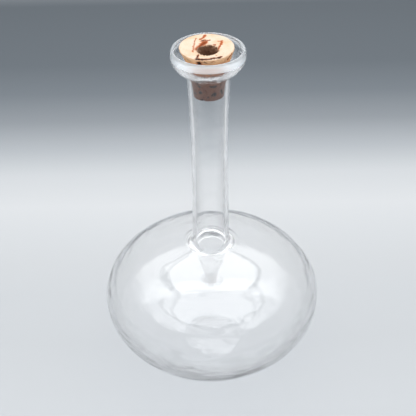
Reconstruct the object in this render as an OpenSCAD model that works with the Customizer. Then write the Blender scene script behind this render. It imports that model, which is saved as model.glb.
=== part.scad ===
// Squat blown-glass flask: a round bottom pushed up just enough to stand on, a long
// waisted neck, a flared cup mouth with a rounded lip, and a bored, tapered cork.
// Millimetres, +Z up. The origin is the middle of the circle it stands on.

/* [Bulb] */
// Largest outside diameter of the bulb
bulb_d = 180; // [160:1:200]
// Height of the widest circle above the table
belly_z = 58; // [56:0.5:59]
// Rise of the bulb from its widest circle to its crown
crown_h = 54.3; // [50:0.1:60]
// Depth of the full lower curve, before its tip is pushed up to stand on
keel_h = 61; // [58:0.1:66]

/* [Base] */
// Radius of the hollow in the middle of the foot
punt_r = 25; // [18:0.5:26]
// Depth of that hollow
punt_h = 1.5; // [0.2:0.1:1.7]

/* [Neck] */
// Outside radius of the neck where it grows out of the bulb
root_r = 14.9; // [14.5:0.1:15.5]
// Radius at which the crown of the bulb starts to sweep up into the neck
sweep_r = 21; // [18:0.5:26]
// Height of that sweep above the crown
sweep_h = 7; // [4:0.5:12]
// Outside radius of the neck at its slimmest
slim_r = 14.3; // [13.8:0.1:14.5]
// Height of the slimmest place
slim_z = 191; // [178:1:203]
// Outside radius of the throat, below the mouth
throat_r = 16.5; // [16.5:0.1:18]
// Height of the throat
throat_z = 264.3; // [262:0.1:267]

/* [Mouth] */
// Height of the lip, which is the top of the glass
lip_z = 285; // [283:0.5:288]
// Outside radius of the lip at its widest
lip_r = 27.4; // [26:0.1:29]
// Height of the rounded lip
lip_h = 5; // [3:0.1:6]

/* [Glass walls] */
// Height of the lowest point of the inside above the table
base_wall = 2.7; // [2.7:0.1:3.5]
// Wall thickness of the bulb, from its widest circle to its crown
bulb_wall = 1.3; // [1.2:0.1:2.2]
// Wall thickness of the neck
neck_wall = 3.2; // [2.8:0.1:3.2]
// Wall thickness of the lip
lip_wall = 3.8; // [3.4:0.1:4.2]

/* [Cork] */
// Length of the cork
cork_len = 38; // [36:0.5:40]
// Height of the cork's top above the lip
cork_proud = 2; // [1:0.5:8]
// Radius of the cork's top
cork_top_r = 19.7; // [18.5:0.1:20]
// Radius of the cork's bottom
cork_tip_r = 11.2; // [10:0.1:11.4]
// Radius of the cork where the throat grips it
cork_grip_r = 13.0; // [12:0.1:13]
// Radius of the hole bored through the cork
cork_bore_r = 6; // [3:0.25:6.5]
// Rounding of the cork's edges
cork_edge = 0.8; // [0.4:0.1:1.2]

/* [Hidden] */
$fn = 96;
bulb_r = bulb_d / 2;

// Steps along each stretch of the outline
punt_steps = 6;
bulb_steps = 22;
sweep_steps = 8;
neck_steps = 26;
mouth_steps = 14;
lip_steps = 12;
cork_steps = 10;
edge_steps = 4;

// Share of the crown's rise over which the wall stays thin
crown_share = 0.85;
// Share of the neck's flare above its slimmest place, as a power of the height
flare_power = 1.7;
// Reach of the mouth's curve: straight up from the throat, and straight down from the lip
throat_reach = 3;
lip_reach = 7;
// Height of the band that the throat grips, and where the free taper starts above it
grip_drop = 3;
taper_rise = 3;

// Curves through two ends, pulled towards one or two handles
function curve2(a, h, b, t) = pow(1 - t, 2) * a + 2 * t * (1 - t) * h + t * t * b;
function curve3(a, h, k, b, t) =
    pow(1 - t, 3) * a + 3 * t * pow(1 - t, 2) * h + 3 * t * t * (1 - t) * k + pow(t, 3) * b;

// The bulb's two half ellipses, by the angle below or above its widest circle
function lower(u) = [bulb_r * cos(u), belly_z - keel_h * sin(u)];
function upper(u) = [bulb_r * cos(u), belly_z + crown_h * sin(u)];

// The shallow hollow in the middle of the foot, from the axis out
punt = [for (i = [0 : punt_steps - 1])
    let (s = i / punt_steps)
    [punt_r * s, punt_h * (1 + cos(180 * s)) / 2]];

// The bulb, from the edge of its foot to where the neck's sweep starts
foot_angle = asin(belly_z / keel_h);
sweep_angle = acos(sweep_r / bulb_r);
bulb_low = [for (i = [0 : bulb_steps - 1]) lower(foot_angle * (1 - i / bulb_steps))];
bulb_high = [for (i = [0 : bulb_steps - 1]) upper(sweep_angle * i / bulb_steps)];

// The sweep from the crown up into the neck
sweep_start = upper(sweep_angle);
sweep_slope = crown_h * cos(sweep_angle) / (bulb_r * sin(sweep_angle));
sweep_handle = [root_r, sweep_start[1] + (sweep_r - root_r) * sweep_slope];
root_z = sweep_handle[1] + sweep_h;
sweep = [for (i = [0 : sweep_steps - 1])
    curve2(sweep_start, sweep_handle, [root_r, root_z], i / sweep_steps)];

// The neck's outside radius at a height
function neck_r(z) = z < slim_z
    ? slim_r + (root_r - slim_r) * (1 - cos(180 * (slim_z - z) / (slim_z - root_z))) / 2
    : slim_r + (throat_r - slim_r) * pow((z - slim_z) / (throat_z - slim_z), flare_power);
neck = [for (i = [0 : neck_steps - 1])
    let (z = root_z + (throat_z - root_z) * i / neck_steps)
    [neck_r(z), z]];

// The cup of the mouth, from the throat to the widest circle of the lip
lip_side = [lip_r, lip_z - lip_h];
mouth = [for (i = [0 : mouth_steps])
    curve3([throat_r, throat_z], [throat_r, throat_z + throat_reach],
        lip_side - [0, lip_reach], lip_side, i / mouth_steps)];

// The outside above the widest circle, and its wall thickness by height
upside = concat(bulb_high, sweep, neck, mouth);
last = len(upside) - 1;
walls = [[belly_z, bulb_wall], [belly_z + crown_share * crown_h, bulb_wall],
    [root_z - sweep_h, neck_wall], [throat_z, neck_wall], [lip_side[1], lip_wall]];

// The direction square to the outline at a point, pointing into the glass
function along(i) = upside[i + 1] - upside[i - 1];
function inward(i) = i == 0 || i == last ? [-1, 0] : [-along(i)[1], along(i)[0]] / norm(along(i));

// The inside of the glass, from the lip down to the widest circle, and then the
// bowl of the bottom, which is a half ellipse of its own and so keeps its curve
inside = [for (i = [last : -1 : 0]) upside[i] + lookup(upside[i][1], walls) * inward(i)];
bowl = [for (i = [1 : bulb_steps])
    let (u = 90 * i / bulb_steps)
    [(bulb_r - bulb_wall) * cos(u), belly_z - (belly_z - base_wall) * sin(u)]];

// The rounded lip, from the outside over the top to the inside
lip = [for (i = [1 : lip_steps - 1])
    let (a = 180 * i / lip_steps)
    lip_side + [lip_wall / 2 * (cos(a) - 1), lip_h * sin(a)]];

// The cork's side, as radius and height, from its tip to its top
cork_top_z = lip_z + cork_proud;
cork_tip_z = cork_top_z - cork_len;
grip = [cork_grip_r, throat_z - grip_drop];
taper = (cork_top_r - cork_grip_r) / (cork_top_z - throat_z - taper_rise / 2);
taper_start = [cork_grip_r + taper * taper_rise / 2, throat_z + taper_rise];
cork_waist = [for (i = [0 : cork_steps])
    curve2(grip, [cork_grip_r, throat_z + taper_rise / 2], taper_start, i / cork_steps)];

// A rounded edge: a quarter turn about a corner, from one angle to the next
function edge(corner, from) = [for (i = [0 : edge_steps])
    let (a = from + 90 * i / edge_steps)
    corner + cork_edge * [cos(a), sin(a)]];

module flask() {
    color([0.86, 0.93, 0.95, 0.35])
        rotate_extrude()
            polygon(concat(punt, [[punt_r, 0]], bulb_low, upside, lip, inside, bowl));
}

module cork_stopper() {
    color("burlywood")
        rotate_extrude()
            polygon(concat(
                [[cork_bore_r, cork_tip_z]],
                edge([cork_tip_r - cork_edge, cork_tip_z + cork_edge], -90),
                cork_waist,
                edge([cork_top_r - cork_edge, cork_top_z - cork_edge], 0),
                [[cork_bore_r, cork_top_z]]));
}

flask();
cork_stopper();
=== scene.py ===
# %% [markdown]
# # A stoppered glass flask
#
# The object is a squat flask of clear blown glass, with a round bottom pushed up just enough to
# stand on, a long upright neck, a cup for a mouth, and a bored cork pushed into its throat. The
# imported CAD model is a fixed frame: it holds the sizes, the bodies and the joint that lets the
# cork come out. Here each of its plain nodes gets a finely made piece that rides on the same
# body and takes its place.

# %% Load the frame and note the CAD model's box
import math
import random

import bmesh
import bpy
import numpy as np
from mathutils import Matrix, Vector, noise
from mathutils.geometry import interpolate_bezier


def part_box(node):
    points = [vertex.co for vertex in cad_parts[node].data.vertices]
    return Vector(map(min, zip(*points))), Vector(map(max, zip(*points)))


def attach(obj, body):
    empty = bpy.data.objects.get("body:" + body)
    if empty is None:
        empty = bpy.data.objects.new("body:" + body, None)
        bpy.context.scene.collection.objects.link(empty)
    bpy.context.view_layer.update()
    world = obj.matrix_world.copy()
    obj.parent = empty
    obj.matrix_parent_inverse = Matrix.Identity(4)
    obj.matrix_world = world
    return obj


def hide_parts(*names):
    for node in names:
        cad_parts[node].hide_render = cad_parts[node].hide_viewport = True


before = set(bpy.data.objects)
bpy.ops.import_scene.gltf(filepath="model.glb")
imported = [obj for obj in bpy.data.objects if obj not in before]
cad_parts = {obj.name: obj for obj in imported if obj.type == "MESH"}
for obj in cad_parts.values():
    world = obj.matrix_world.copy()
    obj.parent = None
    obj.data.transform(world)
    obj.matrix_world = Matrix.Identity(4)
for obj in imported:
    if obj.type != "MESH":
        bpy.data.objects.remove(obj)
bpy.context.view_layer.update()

glass_low, glass_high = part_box("flask")
cork_low, cork_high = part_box("cork_stopper")
MM = 0.001
BULB_R = glass_high.x
LIP_Z = glass_high.z
print("glass", glass_low, glass_high, "cork", cork_low, cork_high)

# %% [markdown]
# ## The camera
#
# The flask is seen from in front and well above, so that the rim and the foot both show as
# ellipses. The eye is eight and a half bulb radii away, near enough for the mouth to look
# clearly larger than it would from afar. Working out the place from the bulb keeps the same
# view if the flask's size changes.

# %% Place the camera
EYE_DISTANCE = 8.5 * BULB_R
EYE_ELEVATION = math.radians(42)
EYE_PITCH = math.radians(36.8)
EYE_ROLL = math.radians(1.0)
EYE_SIDESTEP = -2.0 * MM
FILM_WIDTH, LENS = 36, 76.9
BELLY_Z = 58 * MM

camera_data = bpy.data.cameras.new("camera")
camera_data.sensor_width = FILM_WIDTH
camera_data.lens = LENS
camera = bpy.data.objects.new("camera", camera_data)
bpy.context.scene.collection.objects.link(camera)
bpy.context.scene.camera = camera
camera.location = (
    EYE_SIDESTEP,
    -EYE_DISTANCE * math.cos(EYE_ELEVATION),
    BELLY_Z + EYE_DISTANCE * math.sin(EYE_ELEVATION),
)
camera.rotation_euler = (math.pi / 2 - EYE_PITCH, 0, 0)
camera.rotation_euler.rotate_axis("Z", -EYE_ROLL)
print("camera at", camera.location)

# %% [markdown]
# ## A helper for shader sums
#
# A material is a graph of nodes, and a sum in it is easier to read as a sum. This class wraps a
# socket, so that `1 - mask * 0.5` adds the Math nodes it needs. One method, `add`, makes any
# other node: its settings first, then the values or links of its sockets.


# %% The wire class
class Wire:
    """A socket in a material's node tree, on which sums can be written."""

    def __init__(self, tree, socket=None):
        self.tree = tree
        self.socket = socket

    def add(self, kind, settings=None, inputs=None, output=0):
        node = self.tree.nodes.new("ShaderNode" + kind)
        for name, value in (settings or {}).items():
            if name == "stops":
                set_stops(node.color_ramp, value)
            else:
                setattr(node, name, value)
        for name, value in (inputs or {}).items():
            if isinstance(value, Wire):
                self.tree.links.new(value.socket, node.inputs[name])
            else:
                node.inputs[name].default_value = value
        return Wire(self.tree, node.outputs[output] if node.outputs else None)

    def sum(self, operation, first, second):
        return self.add("Math", {"operation": operation}, {0: first, 1: second})

    def __add__(self, other):
        return self.sum("ADD", self, other)

    def __radd__(self, other):
        return self.sum("ADD", other, self)

    def __sub__(self, other):
        return self.sum("SUBTRACT", self, other)

    def __rsub__(self, other):
        return self.sum("SUBTRACT", other, self)

    def __mul__(self, other):
        return self.sum("MULTIPLY", self, other)

    def __rmul__(self, other):
        return self.sum("MULTIPLY", other, self)

    def __pow__(self, other):
        return self.sum("POWER", self, other)


def set_stops(ramp, stops):
    """Gives a colour ramp its stops: a list of (place, colour)."""
    while len(ramp.elements) < len(stops):
        ramp.elements.new(0.5)
    for element, (place, colour) in zip(ramp.elements, stops):
        element.position = place
        element.color = colour


def new_material(name):
    """An empty material, and a wire that starts its node tree."""
    material = bpy.data.materials.new(name)
    material.use_nodes = True
    material.node_tree.nodes.clear()
    return material, Wire(material.node_tree)


def grey(value, blue=0.0):
    """A grey, a little towards blue."""
    return (value * (1 - blue), value, value * (1 + blue), 1)


# %% [markdown]
# ## The table and the light
#
# The flask stands on a pale sweep with a painted pool of light: its colour is a ramp along Y,
# brightest a little way behind the flask and falling off to a dim grey at the back, which paints
# the fall-off of light. Painting it on the sweep keeps it apart from the lamps, which can then be
# placed only for what they do to the glass. Past the dim part the sweep glows again by its own
# emission, a painted glow that stands for a lit wall, because glass seen edge on bends the sight
# towards what lies far behind it.

# %% Lay the sweep
SWEEP_HALF = 3.0
SWEEP_NEAR = -0.10
SWEEP_FAR = 1.00
FAR_LIGHT_FROM = 0.80
FAR_LIGHT = 0.75
# Painted light: the sweep's grey along Y, a pool of light behind the flask falling off to the back.
SWEEP_PAINTED_LIGHT = [
    (-0.08, 0.46, 0.03),
    (0.00, 0.425, 0.03),
    (0.06, 0.42, 0.03),
    (0.105, 0.425, 0.025),
    (0.155, 0.44, 0.025),
    (0.20, 0.455, 0.02),
    (0.26, 0.405, 0.03),
    (0.31, 0.30, 0.055),
    (0.375, 0.185, 0.085),
    (0.445, 0.12, 0.13),
    (0.525, 0.088, 0.15),
    (0.72, 0.077, 0.155),
    (0.85, 0.24, 0.055),
]

sweep_bm = bmesh.new()
bmesh.ops.create_grid(sweep_bm, x_segments=1, y_segments=1, size=SWEEP_HALF)
sweep_mesh = bpy.data.meshes.new("sweep")
sweep_bm.to_mesh(sweep_mesh)
sweep_bm.free()
sweep = bpy.data.objects.new("sweep", sweep_mesh)
bpy.context.scene.collection.objects.link(sweep)

sweep_painted_light, start = new_material("sweep_painted_light")
place = start.add("TexCoord", output=3)
along = start.add("SeparateXYZ", inputs={0: place}, output=1)
share = (along - SWEEP_NEAR) * (1 / (SWEEP_FAR - SWEEP_NEAR))
# The sweep's colour paints the pool of light and its fall-off.
painted_light_tone = start.add("ValToRGB", {"stops": [
    ((y - SWEEP_NEAR) / (SWEEP_FAR - SWEEP_NEAR), grey(value, blue))
    for y, value, blue in SWEEP_PAINTED_LIGHT
]}, {0: share})
# Painted glow: emission on the sweep past its dim part, standing in for a lit wall.
painted_far_glow = along.add("MapRange", {"interpolation_type": "SMOOTHSTEP"},
                    {0: along, 1: FAR_LIGHT_FROM, 2: FAR_LIGHT_FROM + 0.2, 3: 0, 4: FAR_LIGHT})
shader = start.add("BsdfPrincipled", inputs={"Base Color": painted_light_tone, "Roughness": 0.9})
shader = start.add("AddShader", inputs={
    0: shader, 1: start.add("Emission", inputs={1: painted_far_glow})})
start.add("OutputMaterial", inputs={0: shader})
sweep_mesh.materials.append(sweep_painted_light)


# %% [markdown]
# Glass is lit by what it mirrors. One large panel does that here: an eight-sided soft box hangs
# in front of a dimmer white ceiling, with a narrow dark rim between the two. The ceiling fades
# out sideways. All of it is the face of one lamp, whose shader works out from the place on the
# face how brightly it glows. White paper in full light glows 1.

# %% Hang the panel
BOX_GLOW = 3.0
CEILING_GLOW = 1.9
ROOM_GLOW = 0.90
CEILING_HALF, CEILING_NEAR, CEILING_FAR, CEILING_UP = 2.1, -0.04, 1.05, 1.0
BOX_HALF, BOX_FAR = 0.57, 0.92
NEAR_CUT, NEAR_CUT_TO, FAR_CUT_FROM = 0.27, 0.32, 0.50
RIM = 0.12


def step_down(value, full, none):
    """One up to a value, falling smoothly to nothing at another."""
    return value.add("MapRange", {"interpolation_type": "SMOOTHSTEP"},
                     {0: value, 1: full, 2: none, 3: 1, 4: 0})


ceiling_size = (2 * CEILING_HALF, CEILING_FAR - CEILING_NEAR)
ceiling = bpy.data.lights.new("ceiling", "AREA")
ceiling.shape = "RECTANGLE"
ceiling.size, ceiling.size_y = ceiling_size
ceiling.energy = math.pi * ceiling_size[0] * ceiling_size[1]
ceiling.use_nodes = True
ceiling.node_tree.nodes.clear()
start = Wire(ceiling.node_tree)
spot = start.add("NewGeometry", output=5)
side = start.add("SeparateXYZ", inputs={0: spot}, output=0) * 2 - 1
side = side.add("Math", {"operation": "ABSOLUTE"}, {0: side}) * CEILING_HALF
away = start.add("SeparateXYZ", inputs={0: spot}, output=1) * ceiling_size[1] + CEILING_NEAR
near_by = (NEAR_CUT_TO - away) * (1 / (NEAR_CUT_TO - CEILING_NEAR))
far_by = (away - FAR_CUT_FROM) * (1 / (BOX_FAR - FAR_CUT_FROM))
reach = side * (1 / BOX_HALF) + near_by.sum("MAXIMUM", near_by, 0) * NEAR_CUT
reach = reach + far_by.sum("MAXIMUM", far_by, 0)
in_box = step_down(reach, 0.96, 1.0)
beyond = 1 - step_down(reach, 1 + RIM, 1.05 + RIM)
beyond = beyond * step_down(side, BOX_HALF, CEILING_HALF) * step_down(away, 0.90, CEILING_FAR)
glow = start.add("Emission", inputs={1: in_box * BOX_GLOW + beyond * CEILING_GLOW})
start.add("OutputLight", inputs={0: glow})
ceiling_lamp = bpy.data.objects.new("ceiling", ceiling)
ceiling_lamp.location = (0, (CEILING_NEAR + CEILING_FAR) / 2, CEILING_UP)
bpy.context.scene.collection.objects.link(ceiling_lamp)
world = bpy.data.worlds.new("room")
bpy.context.scene.world = world
world.use_nodes = True
world.node_tree.nodes["Background"].inputs["Color"].default_value = grey(ROOM_GLOW, 0.03)
world.node_tree.nodes["Background"].inputs["Strength"].default_value = 1.0
bpy.context.scene.view_settings.view_transform = "Standard"


# %% [markdown]
# ## Outlines and turning
#
# Both pieces are round, so each is made as on a lathe: draw half of its section beside the Z
# axis, then spin that line once round. The section is a chain of points made from ellipse arcs
# and curves, so a few radii and heights set the whole shape.


# %% Outline helpers
def at(r, z):
    """A point of a section: r millimetres from the axis and z millimetres up."""
    return Vector((r * MM, 0, z * MM))


def arc(centre, reach, first, last, steps):
    """Points on an ellipse round a centre, from one angle to another in degrees."""
    angles = [math.radians(first + (last - first) * i / steps) for i in range(steps + 1)]
    return [
        centre + Vector((reach.x * math.cos(a), 0, reach.z * math.sin(a))) for a in angles
    ]


def curve(start, handle_1, handle_2, end, steps):
    """Points on a Bezier curve through two ends."""
    return interpolate_bezier(start, handle_1, handle_2, end, steps + 1)


def join(*stretches):
    """One chain from several, without the points where they meet twice."""
    chain = []
    for stretch in stretches:
        for point in stretch:
            if not chain or (point - chain[-1]).length > 0.02 * MM:
                chain.append(point)
    return chain


def turn(name, section, steps):
    """Spins a closed section once round the Z axis and returns the mesh being made."""
    bm = bmesh.new()
    verts = [bm.verts.new(point) for point in section]
    edges = [bm.edges.new(pair) for pair in zip(verts, verts[1:])]
    if section[0].x > 0:
        edges.append(bm.edges.new((verts[-1], verts[0])))
    bmesh.ops.spin(
        bm, geom=verts + edges, cent=(0, 0, 0), axis=(0, 0, 1), angle=math.tau,
        steps=steps, use_merge=True, use_duplicate=False,
    )
    bmesh.ops.remove_doubles(bm, verts=bm.verts, dist=0.001 * MM)
    bmesh.ops.recalc_face_normals(bm, faces=bm.faces)
    print(name, "turned:", len(bm.verts), "points,", len(bm.faces), "faces")
    return bm


def settle(name, bm, body, node, material):
    """Makes the mesh a smooth-shaded piece in place of a CAD node."""
    mesh = bpy.data.meshes.new(name)
    for face in bm.faces:
        face.smooth = True
    bm.to_mesh(mesh)
    bm.free()
    mesh.materials.append(material)
    piece = bpy.data.objects.new(name, mesh)
    bpy.context.scene.collection.objects.link(piece)
    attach(piece, body)
    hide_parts(node)
    return piece


# %% [markdown]
# ## The flask's outline
#
# The outside runs from the middle of the foot, which is pushed up a little so that the flask
# stands on a ring, round the two half ellipses of the bulb. It sweeps into the neck, narrows
# to its slimmest place, opens to the throat, turns a tight corner there and opens as a cup.

# %% Draw the outside of the glass
belly = at(0, 58)
bulb_lower = Vector((BULB_R, 0, 61 * MM))
bulb_upper = Vector((BULB_R, 0, 54.3 * MM))
foot_angle = math.degrees(math.asin(belly.z / bulb_lower.z))
foot_in = at(25, 0)
sweep_angle = math.degrees(math.acos(21 * MM / BULB_R))
neck_foot, neck_slim, throat = at(14.9, 117.5), at(14.3, 191), at(16.5, 264.3)
lip_side = at(27.4, 280)


def up(distance):
    """A step up or down the section, in millimetres."""
    return Vector((0, 0, distance * MM))


foot = curve(at(0, 1.5), at(9, 1.5), at(19, 0.6), foot_in, 16)
bulb_low = arc(belly, bulb_lower, -foot_angle, 0, 76)
bulb_high = arc(belly, bulb_upper, 0, sweep_angle, 60)
sweep_pull = at(14.9, 111.4)
neck_sweep = curve(bulb_high[-1], sweep_pull.lerp(bulb_high[-1], 1 / 3),
                   sweep_pull.lerp(neck_foot, 1 / 3), neck_foot, 14)
neck_low = curve(neck_foot, neck_foot + up(26), neck_slim - up(26), neck_slim, 26)
neck_high = curve(neck_slim, neck_slim + up(30), throat - at(1.1, 24), throat, 30)
corner = curve(throat, throat + up(1.6), at(16.9, 265.9), at(18.3, 266.7), 8)
cup = join(corner, curve(corner[-1], at(22.8, 269.2), lip_side - up(6), lip_side, 24))
neck = join(neck_low, neck_high, cup)
print("outside:", len(foot + bulb_low + bulb_high + neck_sweep + neck), "points")

# %% [markdown]
# ## The wall and the lip
#
# The inside follows the outside at the depth of the wall, which a blown flask has thin in the
# bulb and thick in its neck and lip. At each point the wall is measured square to the outline.
# Below the widest circle the inside is half a superellipse, a little fuller than an ellipse: it
# keeps the wall thin at the side and stays rounded over the pushed-up foot. Where the neck
# meets the bulb, the inside ends in a low bead that hangs into the bulb. The lip closes
# the section with half an ellipse.

# %% Draw the inside and the lip
WALLS = [(114, 1.2), (118, 3.2), (264.3, 3.2), (280, 3.8)]
BULB_WALL, BASE_WALL = 1.2 * MM, 2.7 * MM
BOWL_POWER = 2.14
LIP_RISE = 5.0


def wall_at(z):
    """The wall's thickness at a height, both in metres."""
    for (z0, wall0), (z1, wall1) in zip(WALLS, WALLS[1:]):
        if z <= z1 * MM:
            share = max(0, (z / MM - z0) / (z1 - z0))
            return (wall0 + (wall1 - wall0) * share) * MM
    return WALLS[-1][1] * MM


def inside_of(chain):
    """The inner face of a wall whose outer face is the chain, from its far end back."""
    inner = []
    for i, point in enumerate(chain):
        before = chain[max(i - 1, 0)]
        after = chain[min(i + 1, len(chain) - 1)]
        along = (after - before).normalized()
        if i in (0, len(chain) - 1):
            along = Vector((0, 0, 1))
        inner.append(point + Vector((-along.z, 0, along.x)) * wall_at(point.z))
    return inner[::-1]


def bowl(steps):
    """The inside below the widest circle, down to the axis."""
    points = []
    for i in range(1, steps + 1):
        down = math.pi / 2 * i / steps
        out = max(math.cos(down), 0) ** (2 / BOWL_POWER) * (i < steps)
        deep = math.sin(down) ** (2 / BOWL_POWER)
        points.append(belly + Vector((
            (BULB_R - BULB_WALL) * out, 0, -(belly.z - BASE_WALL) * deep)))
    return points


inside_neck, inside_bulb = inside_of(neck), inside_of(bulb_high)
bead_top, bead_end = inside_neck[-1], inside_bulb[0]
bead = curve(bead_top, at(11.7, 108.0), at(12.0, 105.2), at(13.4, 105.8), 14)
bead = join(bead, curve(bead[-1], at(15, 106.6), bead_end + at(-2, 0.2), bead_end, 8))
lip_mid = (lip_side + inside_neck[0]) / 2
lip_reach = Vector(((lip_side - inside_neck[0]).length / 2, 0, LIP_RISE * MM))
lip = arc(lip_mid, lip_reach, 0, 180, 16)
section = join(foot, bulb_low, bulb_high, neck_sweep, neck, lip, inside_neck, bead,
               inside_bulb, bowl(90))
flask_bm = turn("flask", section, 180)

# %% [markdown]
# ## Blown glass is never quite even
#
# Glass blown and turned on a pipe keeps faint rings and waves where it cooled unevenly. They are
# too shallow to see as shape, but they bend reflections and make their edges wander. Moving the
# points of the finished wall does the same, with a noise that changes faster up the flask than
# round it. Most points move by less than a tenth of a millimetre, and the cell prints the
# largest move. The neck gets about a third of the ripple. The middle of the foot gets none: the
# point on the axis itself isn't moved, so it would stand out from its neighbours as a spike.

# %% Ripple the wall
RIPPLE = 0.19 * MM
RIPPLE_ROUND, RIPPLE_UP = 40.0, 120.0
FINE_RIPPLE, FINE_SCALE = 0.55, 2.3
NECK_RIPPLE, NECK_FROM = 0.35, 0.112
CALM_BELOW, CALM_RADIUS, CALM_FADE = 20 * MM, 3 * MM, 20 * MM
INSIDE_SHIFT = 7


def ripple(bm, amount):
    """Moves each point along its normal by a noise, and returns the largest move."""
    largest = 0
    bm.normal_update()
    for vert in bm.verts:
        spot = vert.co
        out = spot.to_2d().length
        calm = 1
        if spot.z < CALM_BELOW:
            calm = min(max((out - CALM_RADIUS) / CALM_FADE, 0), 1)
        if spot.z > 0.3 * MM and out > 0:
            place = Vector((spot.x * RIPPLE_ROUND, spot.y * RIPPLE_ROUND, spot.z * RIPPLE_UP))
            side = 0 if vert.normal.dot(spot - Vector((0, 0, BELLY_Z))) > 0 else INSIDE_SHIFT
            wave = noise.noise(place + Vector((side, 0, 0)))
            wave += FINE_RIPPLE * noise.noise(place * FINE_SCALE + Vector((side, 3, 0)))
            neck = NECK_RIPPLE if spot.z > NECK_FROM else 1
            move = vert.normal * (wave - 0.5) * amount * neck * calm
            largest = max(largest, move.length)
            vert.co = spot + move
    return largest


largest = ripple(flask_bm, RIPPLE)
print("largest ripple", round(largest / MM, 2), "mm")

# %% [markdown]
# ## Clear glass
#
# Clear glass has no colour of its own in a wall this thin. What shows it are the reflections on
# its four faces and the bending of what lies behind. The Principled shader does both when its
# transmission is full. Lamps have to reach the table through the wall, or the flask would throw
# a hard black shadow, so rays towards lamps, and rays that a matt thing sends out, meet a
# Transparent shader in its place. Part of it also shows where the wall is seen edge on, which
# keeps the outline as pale as it is in a bright room. The rim is ground, and only half
# polished at the front, where its roughness rises and it scatters light. It is worn
# smoother towards the back. The same mask also sets a painted glow on the rim: a little cool
# emission, brightest at the front and fainter towards the back, that stands for light which has
# travelled up inside the wall and leaves it there, and paints the rim white.


# %% Make the glass
LIP_GLOW_AND_GROUND_FROM, LIP_GLOW_AND_GROUND_TO = LIP_Z - 6.8 * MM, LIP_Z - 5.0 * MM
LIP_INNER, LIP_OUTER = 24.0 * MM, 25.2 * MM
LIP_FRESH_AND_BRIGHT_Y, LIP_WORN_AND_DIM_Y, LIP_WORN_AND_DIM = -24 * MM, 3 * MM, 0.25
LIP_ROUGHNESS = 0.60
LIP_PAINTED_GLOW = 0.38
GRAZING_PASS = 0.95


def clear_glass():
    material, start = new_material("clear_glass")
    place = start.add("TexCoord", output=3)
    height = start.add("SeparateXYZ", inputs={0: place}, output=2)
    out = place.add("VectorMath", {"operation": "LENGTH"}, {
        0: place.add("VectorMath", {"operation": "MULTIPLY"}, {0: place, 1: (1, 1, 0)})},
        output=1)
    rolled = out.add("MapRange", {"interpolation_type": "SMOOTHSTEP"},
                     {0: out, 1: LIP_INNER, 2: LIP_OUTER, 3: 0, 4: 1})
    ground_and_glow = height.add("MapRange", {"interpolation_type": "SMOOTHSTEP"},
                        {0: height, 1: LIP_GLOW_AND_GROUND_FROM, 2: LIP_GLOW_AND_GROUND_TO, 3: 0, 4: 1})
    depth = start.add("SeparateXYZ", inputs={0: place}, output=1)
    # Fades both the rim's roughness and its painted glow towards the back.
    wear_and_glow_fade = depth.add("MapRange", {"interpolation_type": "SMOOTHSTEP"},
                     {0: depth, 1: LIP_FRESH_AND_BRIGHT_Y, 2: LIP_WORN_AND_DIM_Y, 3: 1, 4: LIP_WORN_AND_DIM})
    ground_and_glow = ground_and_glow * rolled * wear_and_glow_fade
    body = start.add("BsdfPrincipled", inputs={
        "Base Color": (1, 1, 1, 1),
        "Roughness": ground_and_glow * LIP_ROUGHNESS,
        "IOR": 1.5,
        "Transmission Weight": 1.0,
        # Painted glow: cool emission on the ground rim, brightest at the front.
        "Emission Color": start.add("CombineXYZ", inputs={
            0: ground_and_glow * 0.88, 1: ground_and_glow, 2: ground_and_glow * 1.08}),
        "Emission Strength": LIP_PAINTED_GLOW,
    })
    open_way = start.add("BsdfTransparent", inputs={"Color": (0.985, 0.987, 0.99, 1)})
    to_lamp = start.add("LightPath", output=1)
    from_matt = start.add("LightPath", output=2)
    edge_on = start.add("LayerWeight", inputs={"Blend": 0.5}, output=1) ** 3 * GRAZING_PASS
    passing = start.sum("MAXIMUM", to_lamp, from_matt)
    passing = start.sum("MAXIMUM", passing, edge_on)
    seen = start.add("MixShader", inputs={0: passing, 1: body, 2: open_way})
    start.add("OutputMaterial", inputs={0: seen})
    return material


glass = clear_glass()
settle("flask_glass", flask_bm, "flask", "flask", glass)

# %% [markdown]
# ## The cork's shape
#
# The cork is a cone with rounded edges, gripped by the glass over a short length, with a hole
# bored down it. It is turned like the flask, with points close enough together for cracks and
# pits. The bore was drilled askew: it starts near the middle of the tip and comes out nearer
# the front of the top, where the cork around it has crumbled.

# %% Turn the cork
CORK_STEPS = 236
CORK_FINE = 0.42 * MM
CORK_FOOT, CORK_GRIP, CORK_TOP = 249, 266, 287


def refine(chain, spacing):
    """The chain with points added, so that none are further apart than the spacing."""
    fine = [chain[0]]
    for point in chain[1:]:
        start = fine[-1]
        count = max(1, math.ceil((point - start).length / spacing))
        fine += [start.lerp(point, i / count) for i in range(1, count + 1)]
    return fine


cork_outside = join(
    [at(7, 249), at(10.4, 249)],
    arc(at(10.4, 249.8), at(0.8, 0.8), -90, 0, 5),
    curve(at(13.0, 263.8), at(13.0, 266.5), at(13.2, 268.6), at(13.54, 269.8), 6),
    arc(at(18.9, 286.2), at(0.8, 0.8), 0, 90, 5),
    [at(8.0, 287)],
)
cork_mouth = curve(at(8.0, 287), at(7.2, 287), at(6.9, 285), at(6.6, 278), 20)
cork_section = join([at(6, 249)], refine(cork_outside, CORK_FINE), cork_mouth,
                    refine([cork_mouth[-1], at(6.2, 262)], 1.2 * MM))
cork_bm = turn("cork", cork_section, CORK_STEPS)

# %% [markdown]
# ## Cracks, pits and stains
#
# Cork is bark: it is crossed by dark pores, and an old stopper cracks and crumbles round its
# bore. Each mark is a short chain of points with a half width, a depth, and how dark and how
# rusty it is. Marks on the top are drawn in its own plane, X to the right and Y away; those on
# the side are drawn with degrees round from the front and the height. The same distances that
# sink the points also paint them, so colour and shape always agree. A scatter of small pores
# follows, from a fixed seed. The noise that returns a vector needs a seed of its own: without
# one it takes its offset from the clock, and the cracks come out different on every run.

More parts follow.
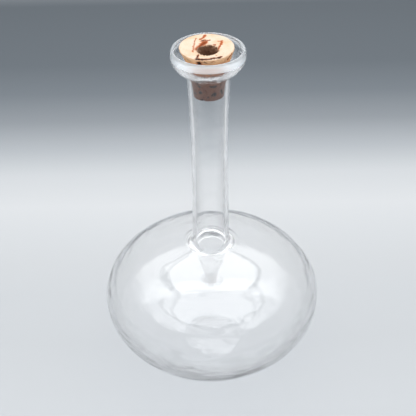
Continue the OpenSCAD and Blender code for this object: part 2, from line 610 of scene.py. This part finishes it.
# %% Draw the marks
TOP_MARKS = [
    ([(-7.6, -17.0), (-1.6, -18.2), (2.5, -17.4), (6.1, -16.4), (10.4, -14.6)], 0.7, 1.6, 1.0, 0.9),
    ([(-6.0, -11), (-6.8, -17)], 0.5, 0.8, 0.8, 0.9),
    ([(-7.4, 12.1), (-8.4, 8), (-9.2, 0.7), (-9.8, -7.4)], 0.35, 0.3, 0.25, 0.8),
    ([(-0.9, 16.6), (-2.1, 13.4), (-4.6, 10.8)], 0.55, 0.5, 0.3, 1.0),
    ([(-3.8, 8.3), (-1.3, 10)], 0.5, 0.9, 0.9, 0.9),
    ([(-0.9, 7.0), (-3.0, 4.1), (-5.0, 0.5), (-6.4, -3.2)], 1.3, 1.6, 0.35, 1.0),
    ([(0.0, 9), (2.6, 9.4)], 0.5, 0.6, 0.6, 0.9),
    ([(5.4, 2.9), (6.0, 2.2)], 0.6, 0.5, 0.5, 0.9),
    ([(8.6, 7.8), (11.1, 8.2), (10, 2.7), (8.0, -3.6)], 0.5, 0.5, 0.25, 1.0),
    ([(6.2, -13.2), (6.6, -13)], 0.4, 0.2, 0.1, 0.6),
]
SIDE_MARKS = [
    ([(-17, 283.8), (-18, 283.0)], 1.1, 2.2, 1.0, 1.0),
    ([(-21, 281.6), (-14, 281.2)], 0.9, 0.4, 0.1, 0.9),
    ([(10, 284.8), (13, 284.9)], 0.4, 0.3, 0.1, 0.8),
    ([(60, 285.8), (50, 282.6)], 0.5, 0.8, 0.35, 1.0),
    ([(3, 273.0), (4, 271.6)], 0.9, 1.2, 1.0, 0.3),
    ([(56, 269.2), (66, 270.4)], 0.7, 0.6, 1.0, 0.3),
    ([(-30, 256.6), (-26, 256.0)], 1.0, 1.2, 1.0, 0.2),
    ([(11, 254.4), (19, 255.8)], 1.0, 1.4, 1.0, 0.2),
    ([(21, 253.4), (22, 254.8)], 0.8, 1.0, 1.0, 0.2),
    ([(44, 256.4), (51, 253.4)], 0.9, 1.0, 1.0, 0.2),
    ([(-32, 261.6), (-29, 260.8)], 0.9, 0.8, 1.0, 0.2),
    ([(7, 261.9), (21, 261.4)], 0.9, 0.7, 1.0, 0.2),
    ([(-53, 253.6), (-50, 254.0)], 0.8, 0.6, 0.9, 0.2),
    ([(-4, 252.6), (-1, 252.9)], 0.7, 0.6, 0.9, 0.2),
    ([(47, 250.2), (50, 250.4)], 0.6, 0.6, 0.9, 0.2),
    ([(-26, 249.8), (-21, 249.9)], 0.7, 0.9, 1.0, 0.2),
    ([(-36, 263.6), (-32, 263.8)], 0.5, 0.1, 0.8, 0.2),
    ([(-76, 259.6), (-74, 259.2)], 0.6, 0.7, 0.9, 0.2),
    ([(38, 261.2), (42, 261.4)], 0.4, 0.5, 0.8, 0.2),
]
NICK = ([(-16, 248.6), (-16, 249.8)], 0.9, 1.6, 0.0, 0.0)
PORE_COUNT = 75

random.seed(11)
noise.seed_set(3)
for _ in range(PORE_COUNT):
    degrees, z = random.uniform(-180, 180), random.uniform(250, 286)
    tilt, long_by = random.uniform(-4, 4), random.uniform(0.2, 2.2)
    width = random.uniform(0.2, 0.55)
    SIDE_MARKS.append((
        [(degrees, z), (degrees + tilt, z + long_by)], width, width * 1.4,
        random.uniform(0.5, 1.0), random.uniform(0.1, 0.6),
    ))
print(len(TOP_MARKS), "marks on top,", len(SIDE_MARKS), "on the side")

# %% [markdown]
# The distance from a chain is the least distance from its segments. Wavering the points before
# measuring makes every crack wander and every pit ragged, without more points in the marks.


# %% Sink and paint the marks
def chain_distance(spots, chain):
    """How far each spot lies from a chain of points, all in two dimensions."""
    nearest = np.full(len(spots), np.inf)
    for start, end in zip(chain, chain[1:]):
        start, span = np.array(start), np.array(end) - np.array(start)
        share = np.clip((spots - start) @ span / (span @ span), 0, 1)
        gap = np.linalg.norm(spots - start - share[:, None] * span, axis=1)
        nearest = np.minimum(nearest, gap)
    return nearest


def fade_out(distance, reach):
    """One at no distance, falling smoothly to none at the reach."""
    share = np.clip(distance / reach, 0, 1)
    return 1 - share * share * (3 - 2 * share)


def waver(spots, per_mm, amount):
    """A smooth random step for each spot, in millimetres."""
    return np.array([noise.noise_vector(Vector(spot) * per_mm) for spot in spots]) * amount


BORE_TO = np.array((0.7, -5.0))
TOP_TO = np.array((-1.0, -1.2))

cork_bm.normal_update()
spots = np.array([vert.co for vert in cork_bm.verts]) / MM
normals = np.array([vert.normal for vert in cork_bm.verts])
radius = np.linalg.norm(spots[:, :2], axis=1)
height = np.clip((spots[:, 2] - CORK_FOOT) / (CORK_TOP - CORK_FOOT), 0, 1)
cork_radius = np.interp(
    spots[:, 2], (CORK_FOOT, CORK_GRIP, CORK_TOP), (11.2, 13.0, 19.7))
near_bore = np.clip((cork_radius - radius) / (cork_radius - 6.6), 0, 1)
spots[:, :2] += (near_bore * height)[:, None] * BORE_TO
rough = waver(spots, 0.45, 0.9) + waver(spots, 1.4, 0.6)
wavered = spots + rough
on_top = np.clip((normals[:, 2] - 0.5) * 3, 0, 1) * (spots[:, 2] > 280)
in_bore = (radius < 8.2) * (on_top < 0.5) * (normals[:, 2] > -0.5)
on_side = (1 - on_top) * (1 - in_bore)
front = np.arctan2(wavered[:, 0], -wavered[:, 1])

sunk, dark, rust = np.zeros((3, len(spots)))
for marks, where in ((TOP_MARKS, on_top), (SIDE_MARKS + [NICK], on_side)):
    for chain, half, depth, darkness, rustiness in marks:
        if marks is TOP_MARKS:
            gap = chain_distance(wavered[:, :2], chain)
        else:
            turned = [(math.radians(degrees) * 15, z) for degrees, z in chain]
            gap = chain_distance(np.stack((front * 15, wavered[:, 2]), 1), turned)
        sunk = np.maximum(sunk, depth * fade_out(gap, half * 1.25) * where)
        dark = np.maximum(dark, darkness * fade_out(gap, half * 1.9) * where)
        rust = np.maximum(rust, rustiness * fade_out(gap, half * 2.8) * where)

gripped = fade_out(np.abs(spots[:, 2] - CORK_GRIP), 6)
grain = np.abs(rough).sum(1) * 0.10 + 0.03
sunk = sunk * (1 - 0.8 * gripped) + grain * (1 - gripped)
moved = spots - normals * sunk[:, None]

lean = np.clip((spots[:, 2] - 269) / 18, 0, 1) ** 1.5
moved[:, :2] += lean[:, None] * TOP_TO
moved[:, 2] += lean * spots[:, 1] * 0.035
mouth = fade_out(np.abs(radius - 7.4), 2.2) * (spots[:, 2] > 279)
moved[:, :2] += mouth[:, None] * rough[:, :2] * 1.1
moved[:, 2] -= mouth * np.abs(rough[:, 2]) * 1.2

stain = cork_bm.verts.layers.float_color.new("stain")
for vert, spot, *paint in zip(cork_bm.verts, moved * MM, dark, rust, in_bore):
    vert.co = spot
    vert[stain] = (*paint, 1)
assert moved[:, 2].min() > 248.9
print("deepest mark", round(float(sunk.max()), 2), "mm")

# %% [markdown]
# ## The look of cork
#
# Fresh cork is pale cream with tan grain. The side is painted darker and browner down the part
# that has stood in the neck, partly a stain and partly painted shade from the neck, and lighter
# and more orange near its top edge, which is painted light from the front. The inside of the bore
# is darker and browner too. Rust-coloured stain spreads from the cracks, and the cracks themselves
# are nearly black. Everything is matt.


# %% Make the cork
def blend(share, first, second):
    """A mix of two colours."""
    return share.add("Mix", {"data_type": "RGBA"}, {0: share, 6: first, 7: second}, output=2)


def natural_cork():
    material, start = new_material("natural_cork")
    place = start.add("TexCoord", output=3)
    height = start.add("SeparateXYZ", inputs={0: place}, output=2)
    stain = start.add("Attribute", {"attribute_name": "stain"})
    dark, rust, bore = (
        start.add("SeparateColor", inputs={0: stain}, output=i) for i in range(3))
    cloudy = start.add("TexNoise", inputs={"Vector": place, "Scale": 130.0, "Detail": 4.0})
    grainy = start.add("TexNoise", inputs={"Vector": place, "Scale": 900.0, "Detail": 3.0})
    upness = start.add("SeparateXYZ", inputs={0: start.add("NewGeometry", output=1)}, output=2)

    tan = grainy.add("MapRange", inputs={0: cloudy * 0.7 + grainy * 0.3, 1: 0.42, 2: 0.66})
    top = blend(tan, (0.60, 0.485, 0.375, 1), (0.56, 0.37, 0.22, 1))
    # The side's colour up its height: painted shade and a stain darken it down the neck, and
    # painted light from the front brightens it near the top edge.
    depth = height.add("ValToRGB", {"stops": [
        (0.00, (0.125, 0.042, 0.022, 1)),
        (0.42, (0.14, 0.047, 0.022, 1)),
        (0.55, (0.35, 0.12, 0.028, 1)),
        (0.70, (0.55, 0.21, 0.05, 1)),
        (0.84, (0.86, 0.42, 0.18, 1)),
        (0.97, (0.98, 0.62, 0.36, 1)),
    ]}, {0: height.add("MapRange", inputs={0: height, 1: CORK_FOOT * MM, 2: CORK_TOP * MM})})
    side = blend(tan * 0.5, depth, (0.16, 0.07, 0.04, 1))
    sideways = upness.add("MapRange", inputs={0: upness, 1: 0.75, 2: 0.45})
    colour = blend(sideways, top, side)
    colour = blend(bore * 0.9, colour, (0.24, 0.13, 0.08, 1))
    rusty = (rust - 0.1) * (grainy * 3.0 + cloudy * 2.0 - 0.8)
    rusty = rusty.sum("MAXIMUM", rusty, 0)
    colour = blend(rusty.sum("MINIMUM", rusty, 1), colour, (0.46, 0.095, 0.010, 1))
    colour = blend(dark.sum("MINIMUM", dark * 1.5, 1), colour, (0.022, 0.012, 0.010, 1))
    bump = start.add("Bump", inputs={"Strength": 0.35, "Distance": 0.3 * MM, "Height": grainy})
    shader = start.add("BsdfPrincipled", inputs={
        "Base Color": colour, "Roughness": 0.85, "Normal": bump})
    start.add("OutputMaterial", inputs={0: shader})
    return material


settle("cork", cork_bm, "stopper", "cork_stopper", natural_cork())
